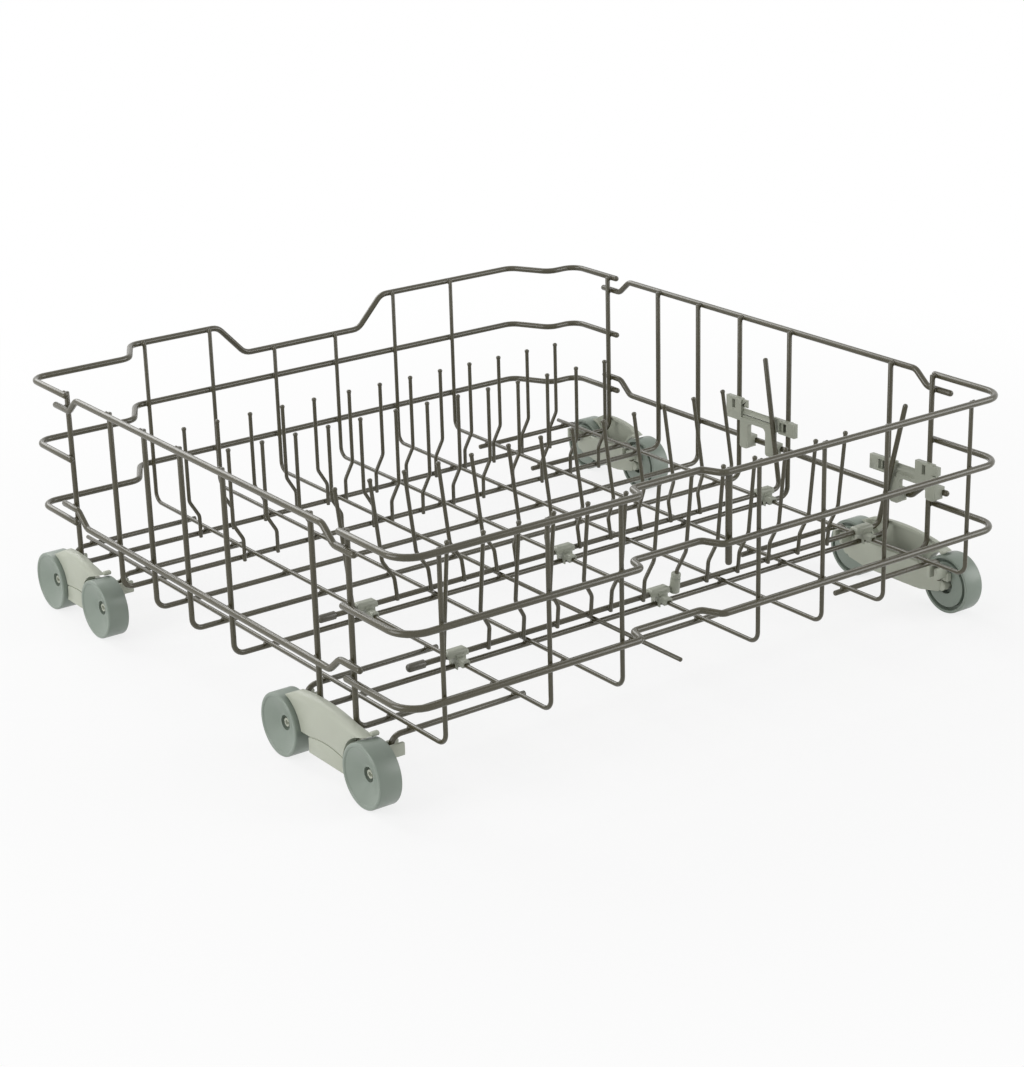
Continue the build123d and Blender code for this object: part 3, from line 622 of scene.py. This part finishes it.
def wheel():
    """Dished wheel on its own centre: rim bead, cone and hub outside, groove and disc inside."""
    outer, inner = WHEEL_X + WHEEL_HALF, WHEEL_X - WHEEL_HALF
    piece = round_bar((inner, outer), 0, AXLE_Z, TREAD_R, 72)
    centre = Vector((WHEEL_X, 0, AXLE_Z)) * MM
    rim_r, cone_r, hub_r, hub_edge_r = 20.1, 19.4, 7.4, 6.6
    disc_r, inner_hub_r = 17.6, 7.2

    def far(point):
        return math.hypot(point.y, point.z - AXLE_Z)

    def inset(width):
        bpy.ops.mesh.inset(thickness=width * MM)

    def sink(depth, size=1.0):
        pull((depth * MM, 0, 0))
        bpy.ops.transform.resize(value=(1, size, size), center_override=centre)

    bpy.ops.object.mode_set(mode="EDIT")
    pick_faces(piece, lambda normal: normal.x > 0.9)
    inset(TREAD_R - rim_r)
    sink(-1.0, cone_r / rim_r)
    sink(-4.6, hub_r / cone_r)
    sink(-0.4, hub_edge_r / hub_r)
    inset(1.3)
    sink(-4.0)
    inset(1.1)
    bpy.ops.mesh.delete(type="FACE")
    pick_faces(piece, lambda normal: normal.x < -0.9)
    inset(2.3)
    sink(4.6)
    inset(2.6)
    sink(-4.4)
    inset(disc_r - inner_hub_r)
    sink(4.0)
    inset(3.0)
    bpy.ops.mesh.delete(type="FACE")
    bpy.ops.mesh.select_mode(type="EDGE")
    bpy.ops.mesh.select_all(action="DESELECT")
    bpy.ops.mesh.select_non_manifold()
    bpy.ops.mesh.bridge_edge_loops()
    bpy.ops.mesh.select_all(action="SELECT")
    bpy.ops.mesh.normals_make_consistent(inside=False)
    bpy.ops.object.mode_set(mode="OBJECT")
    rounded_edges(piece, lambda p: abs(p.x - outer) < 0.05 and far(p) > 22.0, 1.3, 4)
    rounded_edges(piece, lambda p: abs(p.x - outer) < 0.05 and far(p) < 20.5, 0.8, 3)
    rounded_edges(piece, lambda p: abs(p.x - inner) < 0.05 and far(p) > 22.0, 0.6, 2)
    rounded_edges(piece, lambda p: p.x < inner + 0.3 and 17.0 < far(p) < 20.6, 0.35, 2)
    return smoothed(piece, 32)


first_wheel = wheel()
for end, wheels_y in WHEELS_Y.items():
    for number, y in enumerate(wheels_y, 1):
        fit_both(copied(first_wheel, (0, y, 0)), WHEEL_PLASTIC, f"wheel_{end}_SIDE_{number}")
bpy.data.objects.remove(first_wheel)


# Wheel carriers

def crown_bar(front_y, tip_y, inset=0.0):
    """Large bar whose top is the arch of a hood, set in by a wall where asked."""
    chord, rise = (tip_y - front_y) / 2, 6.1
    arch = (chord ** 2 + rise ** 2) / (2 * rise)
    across = (ARM_IN_X - 9, HOOD_OUT_X + 9)
    return round_bar(across, (front_y + tip_y) / 2, AXLE_Z + 31.6 - arch, arch - inset, 360)


def axle_pin(y):
    """Snap pin: a stepped round bar, hollow and split at its end."""
    hollow_x = (WHEEL_X - 1, WHEEL_X + 6)
    pin = round_bar((ARM_IN_X + 0.5, WHEEL_X - 1.6), y, AXLE_Z, 4.0, 48)
    worked(pin, round_bar((WHEEL_X - 3, WHEEL_X + 1.6), y, AXLE_Z, 3.0, 48), "UNION")
    cut(pin, round_bar(hollow_x, y, AXLE_Z, 1.7, 32))
    return cut(pin, block(hollow_x, (y, y + 6), (AXLE_Z - 0.9, AXLE_Z + 0.9)))


def carrier_hood(front_y, rear_y):
    """Thin open hood arched from wheel to wheel, with a seam along its outer side."""
    tip_y, middle_y = rear_y - HOOD_TAIL, (front_y + rear_y) / 2
    across = (ARM_IN_X - 9, HOOD_OUT_X + 9)
    hood = block((ARM_IN_X + TOUCH, HOOD_OUT_X), (front_y, rear_y), (ARM_LOW_Z, HOOD_TOP_Z))
    worked(hood, crown_bar(front_y, tip_y), "INTERSECT")
    cleaned(hood)
    rounded_edges(hood, lambda p: p.x > HOOD_OUT_X - 0.01 and p.z > AXLE_Z + 20, 4.6, 8)
    trimmed(hood, (HOOD_OUT_X, front_y + 3, AXLE_Z + 22.2), Vector((0, -5.6, 11.5)).normalized())
    hollow = block((ARM_OUT_X, HOOD_OUT_X - HOOD_WALL), (front_y + 3, rear_y), (AXLE_Z - 6, HOOD_TOP_Z))
    worked(hollow, crown_bar(front_y, tip_y, HOOD_WALL), "INTERSECT")
    for y, back, drop, gap in ((front_y, 0.0, 0.0, 1.4), (rear_y, 2.2, 1.0, 2.4)):
        cut(hood, round_bar(across, y - back, AXLE_Z - drop, TREAD_R + gap, 120))
        cut(hollow, round_bar(across, y - back, AXLE_Z - drop, TREAD_R + 1.8 + gap, 120))
    cut(hood, hollow)
    recess = block((ARM_IN_X - 8, VISOR_X), (front_y - 6, rear_y + 4), (ARM_TOP_Z + TOUCH, RAIL_LOW_Z))
    trimmed(recess, (VISOR_X, rear_y - 17.5, 0), Vector((14.0, 2.0, 0)).normalized())
    cut(hood, recess)
    lower_front = (front_y, middle_y - 18), (ARM_LOW_Z - 3, AXLE_Z + 2.8)
    cut(hood, block((ARM_OUT_X + TOUCH, HOOD_OUT_X + 3), *lower_front))
    seam_y, seam_z = middle_y + 3.5, AXLE_Z + 5.4 - SEAM_R
    seam = round_bar((HOOD_OUT_X - SEAM_DEPTH, HOOD_OUT_X + 3), seam_y, seam_z, SEAM_R, 400)
    cut(seam, round_bar((HOOD_OUT_X - 2, HOOD_OUT_X + 5), seam_y, seam_z, SEAM_R - SEAM_WIDTH, 400))
    cut(hood, seam)
    return softened(cleaned(hood), 0.3)


def carrier_arm(front_y, rear_y):
    """Flat arm inside the wheels, tapered and notched round both axles."""
    drop_z, past = AXLE_Z - 3.5, 7
    arm = block((ARM_IN_X, ARM_OUT_X), (front_y - past, rear_y + past), (ARM_LOW_Z, ARM_TOP_Z))
    for y, side in ((front_y, -1), (rear_y, 1)):
        slope = Vector((0, side * (drop_z - ARM_LOW_Z), -29.0)).normalized()
        trimmed(arm, (ARM_IN_X, y + side * past, drop_z), slope)
        notch = block((ARM_IN_X - 3, ARM_OUT_X + 3), (y - side, y + side * 14), (ARM_LOW_Z - 5, AXLE_Z + 5))
        rounded_edges(notch, lambda p: p.z > AXLE_Z and abs(p.y - y + side) < 0.1, 3.0, 6)
        cut(arm, notch)
        rounded_edges(arm, lambda p: p.z < drop_z and abs(p.y - y + side) < 0.1, 3.0, 6)
    rounded_edges(arm, lambda p: p.z > ARM_TOP_Z - 0.1 and (p.y < front_y or p.y > rear_y), 3.0, 5)
    return softened(cleaned(arm), 0.5, 3)


def wheel_carrier(front_y, rear_y):
    """Hood, arm, axle pins, forks and the nib at the hood's tail, on the right side."""
    nib_y = rear_y - 6.6
    nib = block((ARM_IN_X + 3.4, VISOR_X - 0.6), (nib_y, nib_y + 3.8), (AXLE_Z + 23, AXLE_Z + 26.2))
    pieces = [carrier_hood(front_y, rear_y), carrier_arm(front_y, rear_y), softened(nib, 1.3, 4)]
    for y in (front_y, rear_y):
        pieces.append(softened(cleaned(axle_pin(y)), 0.25, 2, 50))
        for side in (-1, 1):
            beside = (y + side * 2.1, y + side * 5.1)
            prong = block((ARM_IN_X - 10, ARM_IN_X + 2), beside, (AXLE_Z + 8, AXLE_Z + 17))
            pieces.append(softened(prong, 0.8, 3))
    return joined(pieces)


for end, wheels_y in WHEELS_Y.items():
    fit_both(wheel_carrier(*wheels_y), CARRIER_PLASTIC, f"wheel_carrier_{end}_SIDE")


# Clips, caps and sleeve

def pivot_clip(x, y):
    """Clip astride a floor crossing: hood over the folding wire, finger on the floor wire, fins below."""
    reach = 4.85
    body = block((x - 5.0, x + 2.6), (y - reach, y + reach), (DEPTH_Z - 1.6, FOLD_Z + 1))
    hood = block((x - 8.0, x + 9.0), (y - 3.9, y + 3.9), (FOLD_Z - 0.9, FOLD_Z + 4.4))
    rounded_edges(hood, lambda p: p.z > FOLD_Z + 4 and abs(p.y - y) > 3.5, 2.6, 6)
    worked(body, hood, "UNION")
    slot = (x - 1.7, x + 1.7), (y - 20, y + 20), (DEPTH_Z - 6, DEPTH_Z + 1.7)
    cut(body, block(*slot), round_bar((x - 14, x + 14), y, FOLD_Z, 2.15, 32))
    cut(body, block((x - 14, x + 14), (y - 9, y), (FOLD_Z - 1.4, FOLD_Z + 1.4)))
    pieces = [softened(cleaned(body), 0.35)]
    for side in (-1, 1):
        for fin_x in ((x - 4.9, x - 1.75), (x + 1.75, x + 2.55)):
            fin = block(fin_x, (y + side * 2.1, y + side * 5.1), (DEPTH_Z - 5.0, DEPTH_Z + 1))
            pieces.append(softened(fin, 0.35))
    finger = block((x - 3.0, x + 2.9), (y + reach - 0.6, y + 12.6), (DEPTH_Z - 1.0, DEPTH_Z + 3.8))
    rounded_edges(finger, lambda p: p.z > DEPTH_Z + 3.4, 1.3, 5)
    cut(finger, block(*slot))
    pieces.append(softened(cleaned(finger), 0.3))
    return joined(pieces)


def end_cap(y):
    """Round-ended cap on the right end of a folding wire."""
    end_x, outer_r, bore_r = 187.5, 3.03, 2.05
    cap = round_bar((173.5, end_x), y, FOLD_Z, outer_r, 32)
    cut(cap, round_bar((170, end_x - 1.4), y, FOLD_Z, bore_r, 32))
    cleaned(cap)
    rounded_edges(cap, lambda p: p.x > end_x - 0.5 and math.hypot(p.y - y, p.z - FOLD_Z) > 2.9, 2.2, 6)
    return softened(cap, 0.3, 2, 60)


def tine_sleeve():
    """Tapered sleeve with a collar at its top, on the third tine of the rear row's left group."""
    shift, pitch, _ = TINE_GROUPS[1]
    x, radius, length = FOLD_FIRST_X[1] - pitch * 2 + shift, 3.9, 15.7
    middle = Vector((0, CROSS_Y[5], FOLD_Z))
    ends = [middle + leaned(p, REAR_LEAN) for p in ((x, 2.2, -2.2), (x, 3.0, 13.5))]
    rings = [
        (0, 0.86), (0.12, 1.0), (2.3, 0.93), (2.32, 0.8), (2.5, 0.8), (2.52, 0.9), (3.05, 0.9), (3.2, 0.78)]
    rings = [(d * length / (3.2 * radius), r) for d, r in rings]
    return drawn_wire(ends, [], radius, rings, [(0, 0.6), (0.01, 0.78)], 32)


clip_x = {"right": DEPTH_X[6], "middle": DEPTH_X[3], "left": DEPTH_X[0]}
first_clip = pivot_clip(clip_x["right"], CROSS_Y[4])
for end, row_y, _, _ in FOLD_ROWS:
    for place, x in clip_x.items():
        clip = copied(first_clip, (x - clip_x["right"], row_y - CROSS_Y[4], 0))
        fit(clip, CLIP_PLASTIC, f"pivot_clip_{end}_{place}")
bpy.data.objects.remove(first_clip)

for end, row_y, _, _ in FOLD_ROWS:
    fit(end_cap(row_y), CAP_PLASTIC, f"fold_cap_{end}")


# Latch brackets

def latch_bracket(node, low_z, web_y):
    """The bracket's own solid as one closed shell, with a cove along its web and its edges rounded."""
    bracket = bpy.data.objects.new(node, frame["nodes"][node].data.copy())
    bpy.context.scene.collection.objects.link(bracket)
    cleaned(bracket)
    cove_line = [(-246.5, y, low_z + 9.5) for y in web_y]
    cut(bracket, drawn_wire(cove_line, [], 6.0, FLAT_END, FLAT_END, 48))
    return softened(cleaned(bracket), 0.55, 3)


for end, low_z, web_y in (("front", 96.5, (-4.0, 32.5)), ("rear", 95.0, (172.0, 193.0))):
    node = f"latch_bracket_{end}"
    fit(latch_bracket(node, low_z, web_y), CLIP_PLASTIC, node)

fit(tine_sleeve(), CLIP_PLASTIC, "fold_sleeve_rear")


# Floor, light and camera

def share_of_rays(start, *kinds):
    """1 for rays of these kinds and 0 for all others."""
    path = start.node("ShaderNodeLightPath", output=kinds[0])
    rays = path
    for kind in kinds[1:]:
        rays = rays + Wire(path.tree, path.socket.node.outputs[kind])
    return start.sum("MINIMUM", rays, 1.0)


def white_floor():
    """Pale floor that shows as white and keeps the basket's shadow."""
    finish = Finish("pale_floor")
    start = finish.start
    far = start.node("ShaderNodeVectorMath", {"operation": "LENGTH"}, {0: finish.place}, output="Value")
    edge = start.node(
        "ShaderNodeMapRange", {"interpolation_type": "SMOOTHSTEP"},
        {"Value": far, "From Min": 0.4, "From Max": 1.0, "To Min": 0.8, "To Max": 1.0})
    plain = start.node("ShaderNodeBsdfDiffuse", {}, {"Color": (0.9, 0.9, 0.9, 1)})
    white = start.node("ShaderNodeEmission", {}, {"Color": (1, 1, 1, 1), "Strength": 1.0})
    share = edge * share_of_rays(start, "Is Camera Ray", "Is Glossy Ray")
    both = start.node("ShaderNodeMixShader", {}, {0: share, 1: plain, 2: white})
    start.node("ShaderNodeOutputMaterial", {}, {"Surface": both})
    return finish.material


def softbox(name, place, aim, size, power):
    data = bpy.data.lights.new(name, "AREA")
    data.shape = "SQUARE"
    data.size = size
    data.energy = power
    lamp = bpy.data.objects.new(name, data)
    bpy.context.scene.collection.objects.link(lamp)
    toward = Vector(aim) - Vector(place)
    lamp.matrix_world = Matrix.Translation(place) @ toward.to_track_quat("-Z", "Y").to_matrix().to_4x4()


clear_bench()
bpy.ops.mesh.primitive_plane_add(size=14, location=(0, 0, 0))
floor = bpy.context.object
floor.name = "studio_floor"
floor.data.materials.append(white_floor())

world = bpy.data.worlds.new("studio")
bpy.context.scene.world = world
world.use_nodes = True
world.node_tree.nodes.clear()
sky = Wire(world.node_tree)
level = 0.4 + 0.6 * share_of_rays(sky, "Is Camera Ray", "Is Glossy Ray", "Is Transmission Ray")
glow = sky.node("ShaderNodeBackground", {}, {"Color": (1, 1, 1, 1), "Strength": level})
sky.node("ShaderNodeOutputWorld", {}, {"Surface": glow})

softbox("side_light", (2.3, -0.3, 1.1), (0, 0, 0.08), 1.6, 28)
softbox("back_light", (0.2, -2.2, 1.9), (0, 0, 0.08), 1.8, 36)
softbox("fill_light", (-1.5, 1.4, 0.8), (-0.2, 0.2, 0.08), 1.2, 16)

camera_data = bpy.data.cameras.new("camera")
camera_data.lens = 82.71
camera_data.sensor_width = 36
camera_data.shift_x = -0.0018
camera_data.shift_y = 0.0007
camera = bpy.data.objects.new("camera", camera_data)
bpy.context.scene.collection.objects.link(camera)
camera.matrix_world = Matrix((
    (-0.80727, -0.22358, 0.54620, 1.0058),
    (0.58964, -0.26575, 0.76269, 1.4284),
    (-0.02537, 0.93776, 0.34637, 0.7035),
    (0, 0, 0, 1)))
bpy.context.scene.camera = camera
bpy.context.scene.view_settings.view_transform = "Standard"
